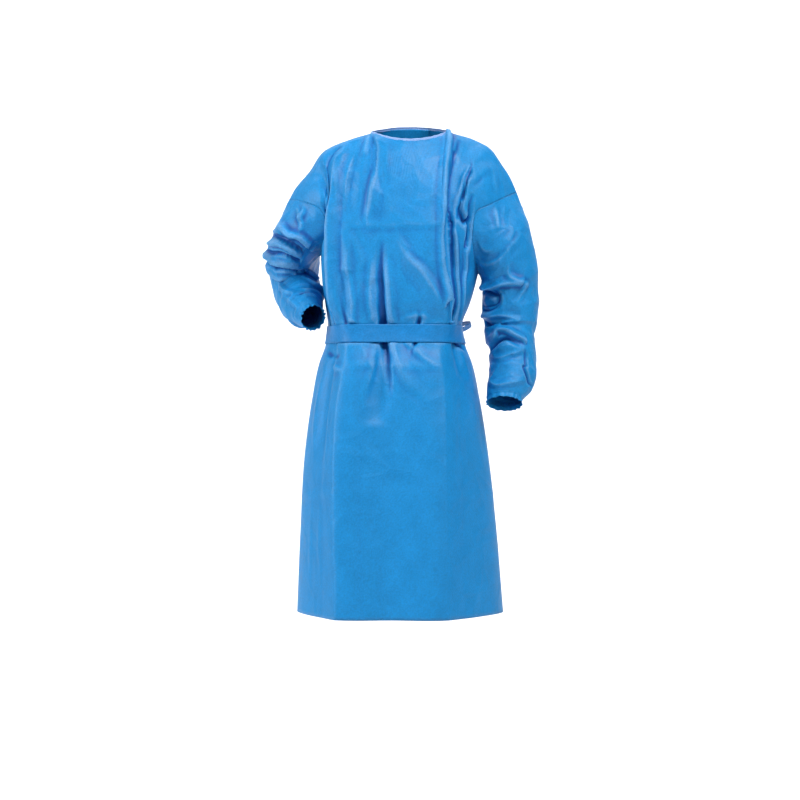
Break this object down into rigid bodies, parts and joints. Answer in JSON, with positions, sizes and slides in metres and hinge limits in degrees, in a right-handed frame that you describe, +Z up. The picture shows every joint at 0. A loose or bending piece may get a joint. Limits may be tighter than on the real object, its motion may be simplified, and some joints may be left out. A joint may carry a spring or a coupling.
{
  "type": "disposable gown",
  "caption": "Blue nonwoven disposable gown with long gathered sleeves, round bound neck, open back and a tied waist belt, in its worn form.",
  "frame": {"origin": "between the shoulders at neck level, where the worn gown is held", "axes": "+Z up, -Y the front of the gown, +X the wearer's left"},
  "size_m": [0.6635, 0.4005, 1.1776],
  "materials": {
    "cloth": "satin",
    "belt_cloth": "satin",
    "binding": "matte",
    "fastener": "matte"
  },
  "bodies": {
    "root": {"front": "cloth", "back_left": "cloth", "back_right": "cloth", "sleeve_left": "cloth", "sleeve_right": "cloth", "cuff_left": "cloth", "cuff_right": "cloth", "belt": "belt_cloth", "belt_knot": "belt_cloth", "belt_loop_left": "belt_cloth", "belt_loop_right": "belt_cloth", "belt_tail_left": "belt_cloth", "belt_tail_right": "belt_cloth", "neck_binding": "binding", "neck_tab": "fastener"}
  },
  "joints": []
}
